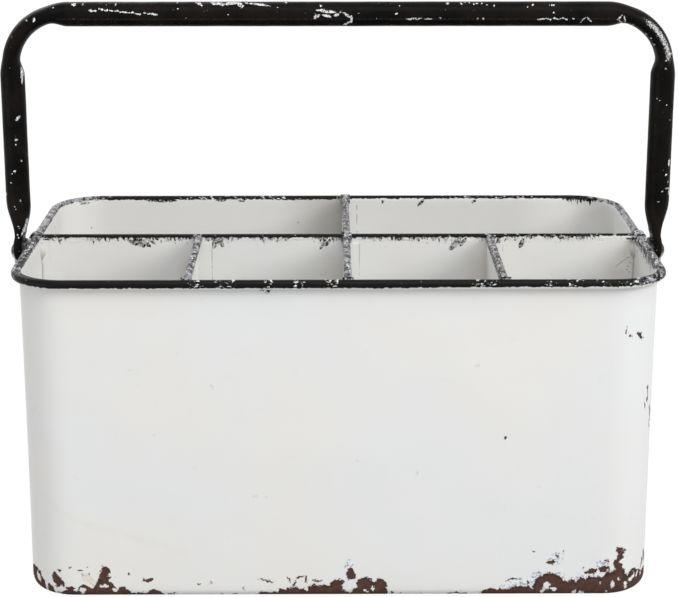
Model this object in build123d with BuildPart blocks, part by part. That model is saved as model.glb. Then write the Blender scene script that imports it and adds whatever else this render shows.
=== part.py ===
from build123d import *
import math
import os

os.makedirs("parts", exist_ok=True)

# A carrying caddy: a wrapped sheet tub with a wired rim, dividers that make six compartments,
# and a tube handle that swings on two rivets. Millimetres, +X to the right, front towards -Y,
# +Z up, origin on the table under the middle of the tub.

# Tub wall, measured on the outside
tub_length = 330.0
tub_depth = 182.0
rim_height = 175.0
corner_radius = 25.2
tub_sheet = 0.7
foot_bend_radius = 4.8
foot_flange_width = 8.0
seam_width = 8.0

# Rolled rim and the wire inside it
rim_wire_diameter = 3.7
rim_wire_fit = 0.05
rim_curl_turn = 305.0
rim_wire_gap = 0.6

# Base tray
base_sheet = 0.7
base_lip_height = 9.0
nest_fit = 0.1

# Dividers
divider_sheet = 0.6
hem_diameter = 4.0
hem_curl_turn = 300.0
flange_width = 9.0
flange_bend_radius = 1.2
flange_drop = 1.0
solder_gap = 0.05
lip_clearance = 1.0
rear_hem_x = 4.8
left_front_hem_x = -77.0
middle_front_hem_x = 4.6
right_front_hem_x = 84.0

# Flattened hem ends that lap over the roll they meet
lap_width = 5.6
lap_thickness = 1.2
rim_lap_turn = 70.0
cross_lap_turn = 120.0
hook_turn = 180.0
hook_drop = 2.4

# Handle
handle_tube_diameter = 12.7
handle_tube_wall = 1.2
handle_rise = 131.8
handle_bend_radius = 28.0
handle_rim_clearance = 0.45
flat_thickness = 4.0
flat_rise = 7.0
flatten_length = 24.0
flatten_steps = 4

# Rivets, spacers and washers at the pivots
rivet_diameter = 5.0
rivet_fit = 0.075
rivet_head_diameter = 10.5
rivet_head_height = 2.8
rivet_tail_diameter = 8.0
rivet_tail_height = 2.0
spacer_diameter = 7.4
spacer_curl_gap = 0.5
washer_diameter = 14.0
washer_thickness = 2.0
backing_washer_diameter = 10.0
backing_washer_thickness = 1.0
side_play = 0.1
relief_clearance = 1.8

# Heights and planes that follow from the sizes above
curl_radius = rim_wire_diameter / 2 + rim_wire_fit + tub_sheet
curl_offset = curl_radius - tub_sheet
curl_z = rim_height - curl_radius
wall_inside_x = tub_length / 2 - tub_sheet
wall_inside_y = tub_depth / 2 - tub_sheet
tray_inset = tub_sheet + nest_fit
tray_top = tray_inset + base_sheet
lip_top = tray_inset + base_lip_height
hem_radius = hem_diameter / 2
hem_z = rim_height - hem_radius
web_offset = hem_radius - divider_sheet / 2
channel_bottom = lip_top + lip_clearance
pivot_z = curl_z - curl_radius - spacer_curl_gap - spacer_diameter / 2
leg_x = tub_length / 2 + curl_offset + curl_radius + handle_rim_clearance + handle_tube_diameter / 2
bar_z = pivot_z + handle_rise
flat_top = pivot_z + flat_rise
flat_inside_x = leg_x - flat_thickness / 2
flat_outside_x = leg_x + flat_thickness / 2
washer_x = flat_inside_x - side_play - washer_thickness
backing_x = wall_inside_x - backing_washer_thickness
tail_x = backing_x - rivet_tail_height
rivet_hole = rivet_diameter + 2 * rivet_fit
flat_width = flat_thickness + math.pi * (handle_tube_diameter - flat_thickness) / 2


def plan_outline(outset, height=0.0, start_gap=0.0):
    """Tub seen from above, from the middle of the back wall all the way round."""
    radius = corner_radius + outset
    side_run = tub_depth - 2 * corner_radius
    long_run = tub_length - 2 * corner_radius
    half_run = long_run / 2 - start_gap / 2
    start = (start_gap / 2, tub_depth / 2 + outset, height)
    side = PolarLine(start, half_run, direction=(1, 0, 0))
    for run in (side_run, long_run, side_run, half_run):
        corner = JernArc(side @ 1, side % 1, radius, -90)
        side = PolarLine(corner @ 1, run, direction=corner % 1)


# Wall: one strip of sheet bent round the tub, foot flange in, rim rolled outward over the wire
with BuildPart() as tub_wall:
    with BuildLine():
        plan_outline(0)
    with BuildSketch(Plane.YZ):
        with BuildLine():
            bend_y = tub_depth / 2 - foot_bend_radius
            flange = Line((bend_y - foot_flange_width, tub_sheet / 2), (bend_y, tub_sheet / 2))
            bend = JernArc(flange @ 1, flange % 1, foot_bend_radius - tub_sheet / 2, 90)
            rise = Line(bend @ 1, (tub_depth / 2 - tub_sheet / 2, curl_z))
            JernArc(rise @ 1, rise % 1, curl_radius - tub_sheet / 2, -rim_curl_turn)
        trace(line_width=tub_sheet)
    sweep()
    # the strip's ends lap in the middle of the back wall
    with BuildSketch(Plane.XY.offset(foot_bend_radius)):
        with Locations((0, tub_depth / 2 + tub_sheet / 2)):
            Rectangle(seam_width, tub_sheet)
    extrude(amount=pivot_z - foot_bend_radius)
    with BuildSketch(Plane.YZ):
        with Locations((0, pivot_z)):
            Circle(rivet_hole / 2)
    extrude(amount=tub_length / 2 + tub_sheet, both=True, mode=Mode.SUBTRACT)
tub_wall.part.label = "tub_wall"
export_step(tub_wall.part, "parts/tub_wall.step")

# Wire inside the rolled rim, its ends butted behind the back wall
with BuildPart() as rim_wire:
    with BuildLine():
        plan_outline(curl_offset, curl_z, rim_wire_gap)
    with BuildSketch(Plane.YZ.offset(rim_wire_gap / 2)):
        with Locations((tub_depth / 2 + curl_offset, curl_z)):
            Circle(rim_wire_diameter / 2)
    sweep()
rim_wire.part.label = "rim_wire"
export_step(rim_wire.part, "parts/rim_wire.step")

# Base: a shallow tray nested in the foot of the wall
with BuildPart() as base_tray:
    with BuildSketch(Plane.XY.offset(tray_inset)):
        RectangleRounded(
            tub_length - 2 * tray_inset, tub_depth - 2 * tray_inset, corner_radius - tray_inset
        )
    extrude(amount=base_lip_height)
    fillet(base_tray.faces().sort_by(Axis.Z)[0].edges(), foot_bend_radius - tray_inset)
    offset(amount=-base_sheet, openings=base_tray.faces().sort_by(Axis.Z)[-1])
base_tray.part.label = "base_tray"
export_step(base_tray.part, "parts/base_tray.step")


def standing_sheet(frame, channel, foot, neck, channel_top):
    """A sheet that stands on the tray and runs along x of its frame, end flanges turned to +y.

    Each of channel, foot and neck is the pair of x where that height of the sheet ends.
    """
    with BuildSketch(frame.offset(channel_bottom)) as folded:
        with BuildLine():
            FilletPolyline(
                (channel[0], flange_width),
                (channel[0], 0),
                (channel[1], 0),
                (channel[1], flange_width),
                radius=flange_bend_radius,
            )
        trace(line_width=divider_sheet)
    extrude(folded.sketch, amount=channel_top - channel_bottom)
    for ends, low, high in (
        (foot, tray_top + solder_gap, channel_bottom),
        (neck, channel_top, hem_z),
    ):
        with BuildSketch(frame.offset(low)) as flat_run:
            with Locations(((ends[0] + ends[1]) / 2, 0)):
                Rectangle(ends[1] - ends[0], divider_sheet)
        extrude(flat_run.sketch, amount=high - low)


def rolled_hem(frame, ends):
    """The top edge of a standing sheet, curled over to +y between two x of its frame."""
    section = Plane(
        frame.from_local_coords((ends[0], 0, hem_z)), x_dir=frame.y_dir, z_dir=frame.x_dir
    )
    with BuildSketch(section) as curl:
        with BuildLine():
            JernArc((0, 0), (0, 1), web_offset, -hem_curl_turn)
        trace(line_width=divider_sheet)
    extrude(curl.sketch, amount=ends[1] - ends[0])


def hem_lap(frame, towards, roll, turn, drop=0.0):
    """A flattened hem end, bent over a roll given by the x, z and radius of its section.

    It climbs the near side of the roll and goes over it for the given turn, towards +x or -x.
    """
    roll_x, roll_z, roll_radius = roll
    bend_radius = roll_radius + solder_gap + lap_thickness / 2
    side = Plane(
        frame.from_local_coords((0, web_offset, 0)), x_dir=frame.x_dir, z_dir=-frame.y_dir
    )
    with BuildSketch(side) as strap:
        with BuildLine():
            near_x = roll_x - towards * bend_radius
            climb = Line((near_x, hem_z - hem_radius), (near_x, roll_z))
            over = JernArc(climb @ 1, (0, 1), bend_radius, -towards * turn)
            if drop:
                PolarLine(over @ 1, drop, direction=over % 1)
        trace(line_width=lap_thickness)
    extrude(strap.sketch, amount=lap_width / 2, both=True)


# Long divider: end wall to end wall, hem rolled backward, flattened hem ends hooked over the rim
long_web_y = -web_offset
long_frame = Plane((0, long_web_y, 0))
relief_z = pivot_z - backing_washer_diameter / 2 - relief_clearance
long_flange_x = wall_inside_x - solder_gap - divider_sheet / 2
long_foot_x = tub_length / 2 - foot_bend_radius - lip_clearance
long_neck_x = tail_x - relief_clearance
long_hem_x = wall_inside_x - solder_gap - lap_thickness / 2
with BuildPart() as long_divider:
    standing_sheet(
        long_frame,
        channel=(-long_flange_x, long_flange_x),
        foot=(-long_foot_x, long_foot_x),
        neck=(-long_neck_x, long_neck_x),
        channel_top=relief_z,
    )
    rolled_hem(long_frame, (-long_hem_x, long_hem_x))
    for side in (-1, 1):
        rim_roll = (side * (tub_length / 2 + curl_offset), curl_z, curl_radius)
        hem_lap(long_frame, side, rim_roll, hook_turn, hook_drop)
long_divider.part.label = "long_divider"
export_step(long_divider.part, "parts/long_divider.step")

# Short dividers: hem rolled to the right, flanges turned to the right. Their frames run from
# back to front, so the back of the tub is at -x.
front_face = -long_web_y + divider_sheet / 2 + solder_gap
back_face = -long_web_y - divider_sheet / 2 - solder_gap
hem_face = hem_radius + solder_gap
wall_face = wall_inside_y - solder_gap
foot_end = tub_depth / 2 - foot_bend_radius - lip_clearance
lap_hem_end = wall_face - lap_thickness / 2
short_top = hem_z - hem_radius - flange_drop
rim_roll = (tub_depth / 2 + curl_offset, curl_z, curl_radius)
long_roll = (0, hem_z, hem_radius)
front_row = {
    "left_front_divider": left_front_hem_x,
    "middle_front_divider": middle_front_hem_x,
    "right_front_divider": right_front_hem_x,
}
for name, hem_x in front_row.items():
    short_frame = Plane((hem_x - web_offset, 0, 0), x_dir=(0, -1, 0))
    laps_long_hem = name == "middle_front_divider"
    hem_start = hem_face + lap_thickness / 2 if laps_long_hem else hem_face
    with BuildPart() as front_divider:
        standing_sheet(
            short_frame,
            channel=(front_face + divider_sheet / 2, wall_face - divider_sheet / 2),
            foot=(front_face, foot_end),
            neck=(hem_start, lap_hem_end),
            channel_top=short_top,
        )
        rolled_hem(short_frame, (hem_start, lap_hem_end))
        hem_lap(short_frame, 1, rim_roll, rim_lap_turn)
        if laps_long_hem:
            hem_lap(short_frame, -1, long_roll, cross_lap_turn)
    front_divider.part.label = name
    export_step(front_divider.part, f"parts/{name}.step")

with BuildPart() as rear_divider:
    rear_frame = Plane((rear_hem_x - web_offset, 0, 0), x_dir=(0, -1, 0))
    standing_sheet(
        rear_frame,
        channel=(divider_sheet / 2 - wall_face, back_face - divider_sheet / 2),
        foot=(-foot_end, back_face),
        neck=(-lap_hem_end, -hem_face),
        channel_top=short_top,
    )
    rolled_hem(rear_frame, (-lap_hem_end, -hem_face))
    hem_lap(rear_frame, -1, (-rim_roll[0], curl_z, curl_radius), rim_lap_turn)
rear_divider.part.label = "rear_divider"
export_step(rear_divider.part, "parts/rear_divider.step")


def flattened_outline(inset, flattening):
    """Section of the handle tube between round (flattening 0) and pressed flat (1).

    The corners are where the flat's straight faces end. They slide along so that the tube's
    wall keeps its length while the faces lose their bulge.
    """
    round_radius = handle_tube_diameter / 2 - inset
    flat_half = flat_thickness / 2 - inset
    face_half = (flat_width - flat_thickness) / 2
    corner_angle = math.pi * face_half / (2 * face_half + math.pi * flat_thickness / 2)
    stay = 1 - flattening
    corner_x = stay * round_radius * math.cos(corner_angle) + flattening * flat_half
    corner_y = stay * round_radius * math.sin(corner_angle) + flattening * face_half
    face_x = stay * round_radius + flattening * flat_half
    end_y = stay * round_radius + flattening * (face_half + flat_half)
    for side in (-1, 1):
        if flattening < 1:
            ThreePointArc((side * corner_x, -corner_y), (side * face_x, 0), (side * corner_x, corner_y))
        else:
            Line((side * corner_x, -corner_y), (side * corner_x, corner_y))
        ThreePointArc((-corner_x, side * corner_y), (0, side * end_y), (corner_x, side * corner_y))


def flattened_end(inset, mode):
    """One leg's end from the round tube down past the tip, drawn inside the tube's surface."""
    sections = []
    for step in range(flatten_steps + 1):
        travel = step / flatten_steps
        flattening = travel * travel * (3 - 2 * travel)
        with BuildSketch(Plane((leg_x, 0, flat_top + flatten_length * (1 - travel)))) as section:
            with BuildLine():
                flattened_outline(inset, flattening)
            make_face()
        sections.append(section.sketch)
    loft(sections, mode=mode)
    extrude(sections[-1], amount=-flat_rise - flat_width / 2, mode=mode)


# Handle: one tube bent into a hoop, both ends pressed flat, drilled and rounded
with BuildPart() as handle:
    tube_end = flat_top + flatten_length
    with BuildLine(Plane.XZ):
        FilletPolyline(
            (leg_x, tube_end), (leg_x, bar_z), (0, bar_z), radius=handle_bend_radius
        )
    with BuildSketch(Plane((leg_x, 0, tube_end))):
        Circle(handle_tube_diameter / 2)
        Circle(handle_tube_diameter / 2 - handle_tube_wall, mode=Mode.SUBTRACT)
    sweep()
    flattened_end(0, Mode.ADD)
    flattened_end(handle_tube_wall, Mode.SUBTRACT)
    with BuildSketch(Plane.YZ.offset(flat_inside_x)):
        with Locations((0, pivot_z - flat_width / 2)):
            Rectangle(2 * flat_width, flat_width)
        with Locations((0, pivot_z)):
            Circle(flat_width / 2, mode=Mode.SUBTRACT)
            Circle(rivet_hole / 2)
    extrude(amount=flat_thickness, mode=Mode.SUBTRACT)
    mirror(about=Plane.YZ)
handle.part.label = "handle"
export_step(handle.part, "parts/handle.step")

# Pivots: each rivet holds backing washer, wall, spacer, washer and the handle's flat end
for name, side in (("left", -1), ("right", 1)):
    with BuildPart() as rivet:
        with BuildSketch(Plane.XZ):
            with BuildLine():
                shank_radius = rivet_diameter / 2
                head_x = flat_outside_x + side_play
                tail_tip = (side * tail_x, pivot_z)
                head_tip = (side * (head_x + rivet_head_height), pivot_z)
                tail_edge = (side * backing_x, pivot_z + rivet_tail_diameter / 2)
                head_edge = (side * head_x, pivot_z + rivet_head_diameter / 2)
                TangentArc(tail_tip, tail_edge, tangent=(0, 1))
                Polyline(
                    tail_edge,
                    (side * backing_x, pivot_z + shank_radius),
                    (side * head_x, pivot_z + shank_radius),
                    head_edge,
                )
                TangentArc(head_tip, head_edge, tangent=(0, 1))
                Line(tail_tip, head_tip)
            make_face()
        revolve(axis=Axis((0, 0, pivot_z), (1, 0, 0)))
    rivet.part.label = f"{name}_rivet"
    export_step(rivet.part, f"parts/{name}_rivet.step")

    for ring_name, inner_x, outer_x, diameter in (
        ("spacer", tub_length / 2, washer_x, spacer_diameter),
        ("washer", washer_x, washer_x + washer_thickness, washer_diameter),
        ("backing_washer", backing_x, wall_inside_x, backing_washer_diameter),
    ):
        with BuildPart() as ring:
            with BuildSketch(Plane.YZ.offset(side * inner_x)):
                with Locations((0, pivot_z)):
                    Circle(diameter / 2)
                    Circle(rivet_hole / 2, mode=Mode.SUBTRACT)
            extrude(amount=side * (outer_x - inner_x))
        ring.part.label = f"{name}_{ring_name}"
        export_step(ring.part, f"parts/{name}_{ring_name}.step")
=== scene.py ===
import bpy
import math
from functools import partial
from bpy.types import NodeSocket
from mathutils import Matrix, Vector


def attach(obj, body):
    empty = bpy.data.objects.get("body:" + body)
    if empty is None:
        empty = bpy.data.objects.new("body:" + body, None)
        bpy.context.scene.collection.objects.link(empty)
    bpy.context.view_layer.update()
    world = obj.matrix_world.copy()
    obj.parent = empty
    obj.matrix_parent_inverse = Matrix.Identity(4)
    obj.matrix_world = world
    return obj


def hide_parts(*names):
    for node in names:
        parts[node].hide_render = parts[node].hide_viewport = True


# Storage caddy: enamelled tub with a rolled rim, hemmed dividers and a swinging tube handle.
# Metres, front towards -Y. Paint patterns are laid out in millimetres inside the materials.
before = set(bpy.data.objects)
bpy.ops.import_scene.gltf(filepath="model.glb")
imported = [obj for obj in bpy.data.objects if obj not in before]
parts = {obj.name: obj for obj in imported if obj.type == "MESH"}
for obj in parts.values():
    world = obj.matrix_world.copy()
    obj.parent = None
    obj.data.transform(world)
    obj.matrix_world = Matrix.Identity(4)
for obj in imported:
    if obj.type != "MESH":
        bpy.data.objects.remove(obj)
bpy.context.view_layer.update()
print("frame loaded:", len(parts), "nodes")

mm = 0.001


# Short names for nodes. Where no tree is given, it is the one that the inputs are in.
def feed(tree, socket, value):
    if isinstance(value, NodeSocket):
        tree.links.new(value, socket)
    else:
        socket.default_value = value


def addNode(tree, kind, inputs=(), **settings):
    made = tree.nodes.new(kind)
    for name, value in settings.items():
        setattr(made, name, value)
    for name, value in dict(inputs).items():
        feed(tree, made.inputs[name], value)
    return made


def output(tree, kind, inputs=(), **settings):
    return addNode(tree, kind, inputs, **settings).outputs[0]


def treeOf(values):
    return next(value.id_data for value in values if isinstance(value, NodeSocket))


def calc(operation, *values):
    return output(treeOf(values), "ShaderNodeMath", enumerate(values), operation=operation)


plus, minus = partial(calc, "ADD"), partial(calc, "SUBTRACT")
timesPlus = partial(calc, "MULTIPLY_ADD")
larger, smaller = partial(calc, "MAXIMUM"), partial(calc, "MINIMUM")
isOver, isUnder = partial(calc, "GREATER_THAN"), partial(calc, "LESS_THAN")
absolute = partial(calc, "ABSOLUTE")


def times(product, *factors):
    for factor in factors:
        product = calc("MULTIPLY", product, factor)
    return product


def apart(a, b):
    return absolute(minus(a, b))


def vectorCalc(operation, *values):
    made = addNode(treeOf(values), "ShaderNodeVectorMath", enumerate(values), operation=operation)
    return made.outputs["Value" if operation in ("LENGTH", "DOT_PRODUCT") else "Vector"]


def scaled(vector, factor):
    return output(vector.id_data, "ShaderNodeVectorMath", {0: vector, "Scale": factor},
                  operation="SCALE")


def shape(tree, kind, inputs=(), **settings):
    return output(tree, "GeometryNode" + kind, inputs, **settings)


def join(*values):
    return output(treeOf(values), "ShaderNodeCombineXYZ", enumerate(values))


def split(vector):
    return addNode(vector.id_data, "ShaderNodeSeparateXYZ", {0: vector}).outputs


def blend(share, start, end):
    return output(treeOf((share, start, end)), "ShaderNodeMix", {0: share, 2: start, 3: end})


def rampUp(value, low, high):
    # 0 below low, 1 above high, smooth between; low may be the larger
    inputs = {"Value": value, "From Min": low, "From Max": high}
    return output(value.id_data, "ShaderNodeMapRange", inputs, interpolation_type="SMOOTHSTEP")


# Finishes
finishes = {
    "enamel": {"color": (0.8, 0.8, 0.785, 1), "rough": 0.38, "metal": 0.0},
    "insideEnamel": {"color": (0.8, 0.795, 0.78, 1), "rough": 0.45, "metal": 0.0},
    "blackPaint": {"color": (0.0045, 0.0039, 0.0037, 1), "rough": 0.36, "metal": 0.0},
    "wornSteel": {"color": (0.2, 0.195, 0.205, 1), "rough": 0.5, "metal": 0.35},
    "chalk": {"color": (0.8, 0.81, 0.82, 1), "rough": 0.6, "metal": 0.0},
    "rust": {"color": (0.085, 0.042, 0.034, 1), "rough": 0.85, "metal": 0.0},
}
# the same in other colours, and mottled: level and colour of the darker and the lighter parts
tones = {
    # the first tone on this line is painted shade, for the inner back wall beside the rear divider
    "dull": ("insideEnamel", (0.42, 0.4, 0.36)), "smudge": ("enamel", (0.5, 0.49, 0.47)),
    "stain": ("enamel", (0.7, 0.62, 0.42)), "greyDots": ("enamel", (0.55, 0.56, 0.57)),
    "cream": ("rust", (0.76, 0.72, 0.66)), "creamBorder": ("rust", (0.22, 0.14, 0.11)),
    "rustBorder": ("rust", (0.03, 0.017, 0.015)), "dirt": ("insideEnamel", (0.3, 0.28, 0.26)),
    # the first tone on this line is painted warm shade for the shaded ends of the compartments; the
    # second is a painted reflection line on the handle
    "grime": ("insideEnamel", (0.62, 0.56, 0.47)), "seam": ("blackPaint", (0.045, 0.042, 0.04)),
    # the first tone on this line is lighter steel, partly a painted highlight on the fittings'
    # lower halves; the second is darker enamel, painted shade on the fittings inside the tub
    "scraped": ("wornSteel", (0.52, 0.49, 0.44)), "inner": ("insideEnamel", (0.62, 0.61, 0.59)),
}
mottles = {
    "steel": ("wornSteel", (0.36, (0.12, 0.117, 0.125)), (0.62, (0.5, 0.49, 0.515))),
    "wallTint": ("enamel", (0.35, (0.805, 0.795, 0.775)), (0.65, (0.785, 0.8, 0.805))),
    "flaky": ("enamel", (0.4, (0.2, 0.21, 0.24)), (0.5, (0.8, 0.83, 0.87))),
    "rust": ("rust", (0.3, (0.066, 0.032, 0.026)), (0.75, (0.115, 0.062, 0.048))),
    "sheetTint": ("insideEnamel", (0.35, (0.8, 0.79, 0.765)), (0.65, (0.79, 0.798, 0.795))),
    "hemWorn": ("chalk", (0.44, (0.085, 0.075, 0.068)), (0.56, (0.62, 0.62, 0.62))),
    "handleTint": ("blackPaint", (0.4, (0.0038, 0.0035, 0.0033)),
                   (0.65, (0.0095, 0.0075, 0.0065))),
}
for name, (finish, color) in tones.items():
    finishes[name] = dict(finishes[finish], color=(*color, 1))
gloss = {"enamel": 0.1, "handle": 0.04, "steel": 0.4}
# thickness of the coats and depth of the dents that the light shows, in mm
relief = {
    "paint": 0.16, "rubbed": -0.12, "fleck": -0.08, "chip": -0.22, "lifted": 0.1,
    "wallDents": 0.9, "wallSkin": 0.01, "sheetDents": 0.8, "hemLumps": 0.9,
    "mark": -0.12, "hammering": 0.7, "handleSkin": 0.02, "rubbedSteel": 0.3,
}


# Noise patterns: scale (per mm in paint, per metre in shapes), detail, roughness and, where
# spots are made of it, the levels where they set in and where they are full
patterns = {
    "coarseTear": (0.16, 3, 0.6), "fineTear": (0.8, 5, 0.75), "steel": (1.5, 5, 0.75),
    "rubbed": (0.36, 6, 0.74, 0.7, 0.75), "flecks": (0.95, 4, 0.65, 0.7, 0.73),
    "wallTint": (0.012, 2, 0.5), "smudge": (0.1, 5, 0.7, 0.6, 0.85), "stain": (0.1, 3, 0.6),
    "flaky": (0.7, 4, 0.7, 0.53, 0.57), "rustLine": (0.035, 2, 0.6, 0.45, 0.8),
    "rust": (0.35, 4, 0.6), "brushed": (1.2, 4, 0.7, 0.38, 0.7), "rimLine": (0.45, 4, 0.65),
    "rearChips": (0.9, 4, 0.75, 0.44, 0.5), "wallSkin": (0.9, 2, 0.5),
    "wallDents": (0.02, 2, 0.5), "sheetTint": (0.02, 3, 0.5), "dirt": (0.3, 3, 0.6, 0.76, 0.8),
    "flangeLine": (0.2, 3, 0.6, 0.4, 0.55), "hemLine": (0.5, 4, 0.7),
    "fringe": (0.55, 4, 0.75), "hemWorn": (0.6, 4, 0.7, 0.48, 0.52),
    "sheetDents": (0.03, 2, 0.5), "hemLumps": (0.5, 4, 0.6), "broken": (1.1, 4, 0.7, 0.42, 0.47),
    "wobble": (0.24, 3, 0.6), "thick": (0.8, 3, 0.6, 0.38, 0.62),
    "highlightBand": (1.3, 5, 0.8, 0.68, 0.82), "specks": (0.6, 3, 0.55, 0.735, 0.76),
    "scratches": (0.42, 5, 0.7, 0.72, 0.75), "handleTint": (0.05, 3, 0.6),
    "hammering": (0.12, 2, 0.5), "handleSkin": (1.2, 2, 0.5), "fittings": (0.5, 5, 0.7),
    "bentWall": (14, 2, 0.5), "unevenRim": (24, 1, 0.5), "bentHandle": (55, 2, 0.5),
    "solder": (900, 2, 0.5),
}
# patterns that are drawn out, and how far the edges of patches tear
drawnOut = {
    "rubbed": (1, 0.45, 1), "flecks": (0.55, 0.4, 1.2), "brushed": (1, 0.6, 0.22),
    "fringe": (1, 1, 0.5), "scratches": (0.35, 1, 1),
}
tears = {
    "wall": (7.0, 4.0), "rearChips": (2.0, 1.6), "grime": (9.0, 2.0), "flaps": (2.0, 2.4),
    "scratches": (0.8, 0.5), "handle": (2.0, 2.2),
}
# where patches set in and are full: 1 is the edge of their ellipse, 0 its middle
patchEdges = {
    "stain": (1.5, 0.2), "greyDots": (1.4, 0.5), "lifted": (1.1, 0.8), "cream": (1.1, 0.9),
    "rust": (1.04, 0.98), "rustBorder": (0.8, 0.98), "islands": (1.08, 0.96),
    "underRim": (1.1, 0.9), "rearChips": (1.1, 0.9), "flecked": (1.3, 0.6), "ragged": (1.2, 0.6),
    "grime": (1.0, 0.1), "flaps": (1.05, 0.95), "flapCore": (0.72, 0.6), "scratches": (1.1, 0.8),
    "handle": (1.1, 0.9),
}
# where paint sets in and is full, in mm above its line
paintEdge = (-0.06, 0.1)


def noise(point, label, channel="Fac"):
    names = ("Scale", "Detail", "Roughness")
    inputs = {"Vector": point, **dict(zip(names, patterns[label]))}
    return addNode(point.id_data, "ShaderNodeTexNoise", inputs).outputs[channel]


def spotsIn(value, label):
    # the spots of a pattern, which may be raised in places
    return rampUp(value, *patterns[label][3:])


def spots(point, label):
    return spotsIn(noise(point, label), label)


def drawn(point, label):
    return vectorCalc("MULTIPLY", point, drawnOut[label])


def inside(distance, label):
    # distance is what patches gives
    return rampUp(distance, *patchEdges[label])


def mottled(value, label):
    finish, *stops = mottles[label]
    return dict(finishes[finish], color=colorRamp(value, stops))


def coat(under, over, mask):
    # over is a finish or the name of one
    if isinstance(over, str):
        over = finishes[over]
    both = {channel: blend(mask, under[channel], over[channel]) for channel in ("rough", "metal")}
    inputs = {0: mask, 6: under["color"], 7: over["color"]}
    mixed = addNode(mask.id_data, "ShaderNodeMix", inputs, data_type="RGBA")
    return dict(both, color=mixed.outputs[2])


def startMaterial(name):
    made = bpy.data.materials.new(name)
    made.use_nodes = True
    return made, made.node_tree


def placeInMm(tree):
    return scaled(addNode(tree, "ShaderNodeTexCoord").outputs["Object"], 1 / mm)


def finishMaterial(tree, layers, height, level):
    bump = output(tree, "ShaderNodeBump", {"Height": height, "Strength": 1.0, "Distance": mm})
    shader = tree.nodes["Principled BSDF"]
    shader.inputs["Specular IOR Level"].default_value = level
    for name, value in (("Base Color", layers["color"]), ("Roughness", layers["rough"]),
                        ("Metallic", layers["metal"]), ("Normal", bump)):
        feed(tree, shader.inputs[name], value)


def patches(point, places):
    # distance to the nearest ellipse: under 1 is inside
    # places are x, z, half width, half height and, where it is tilted, degrees
    nearest = None
    for x, z, halfWidth, halfHeight, *tilt in places:
        if tilt:
            turn = math.radians(tilt[0])
            across = (math.cos(turn) / halfWidth, math.sin(turn) / halfWidth, 0)
            upward = (-math.sin(turn) / halfHeight, math.cos(turn) / halfHeight, 0)
            u, v = (plus(vectorCalc("DOT_PRODUCT", point, axis), -(x * axis[0] + z * axis[1]))
                    for axis in (across, upward))
            square = timesPlus(v, v, times(u, u))
        else:
            local = vectorCalc("MULTIPLY_ADD", point, (1 / halfWidth, 1 / halfHeight, 0),
                               (-x / halfWidth, -z / halfHeight, 0))
            square = vectorCalc("DOT_PRODUCT", local, local)
        nearest = square if nearest is None else smaller(nearest, square)
    return calc("SQRT", nearest)


def stretches(distance, places):
    # the same along one direction, for places of middle and half length
    return patches(join(distance), [(middle, 0, half, 1) for middle, half in places])


def raggedPoint(point, label):
    # the point pushed about, so that patch edges tear
    shifts = [noise(point, kind, "Color") for kind in ("coarseTear", "fineTear")]
    for shift, reach in zip(shifts, tears[label]):
        shift = vectorCalc("SUBTRACT", shift, (0.5, 0.5, 0.5))
        shift = vectorCalc("MULTIPLY", shift, (reach, reach, 0))
        point = vectorCalc("ADD", point, shift)
    return point


def colorRamp(value, stops):
    made = addNode(value.id_data, "ShaderNodeValToRGB", {"Fac": value})
    elements = made.color_ramp.elements
    for element, (where, tone) in zip(elements, (stops[0], stops[-1])):
        element.position = where
        element.color = (*tone, 1)
    for where, tone in stops[1:-1]:
        elements.new(where).color = (*tone, 1)
    return made.outputs["Color"]


def wornEdge(layers, placeMm, black, wear, flecked):
    # black paint, rubbed through to speckled steel, with flecks of the enamel under it
    layers = coat(layers, "blackPaint", black)
    streaked = drawn(placeMm, "rubbed")
    rubbed = times(spotsIn(plus(noise(streaked, "rubbed"), wear), "rubbed"), black)
    layers = coat(layers, mottled(noise(streaked, "steel"), "steel"), rubbed)
    flecks = plus(noise(drawn(placeMm, "flecks"), "flecks"), flecked)
    flecks = times(spotsIn(flecks, "flecks"), black)
    layers = coat(layers, "chalk", flecks)
    height = timesPlus(rubbed, relief["rubbed"], times(black, relief["paint"]))
    return layers, timesPlus(flecks, relief["fleck"], height)


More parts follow.
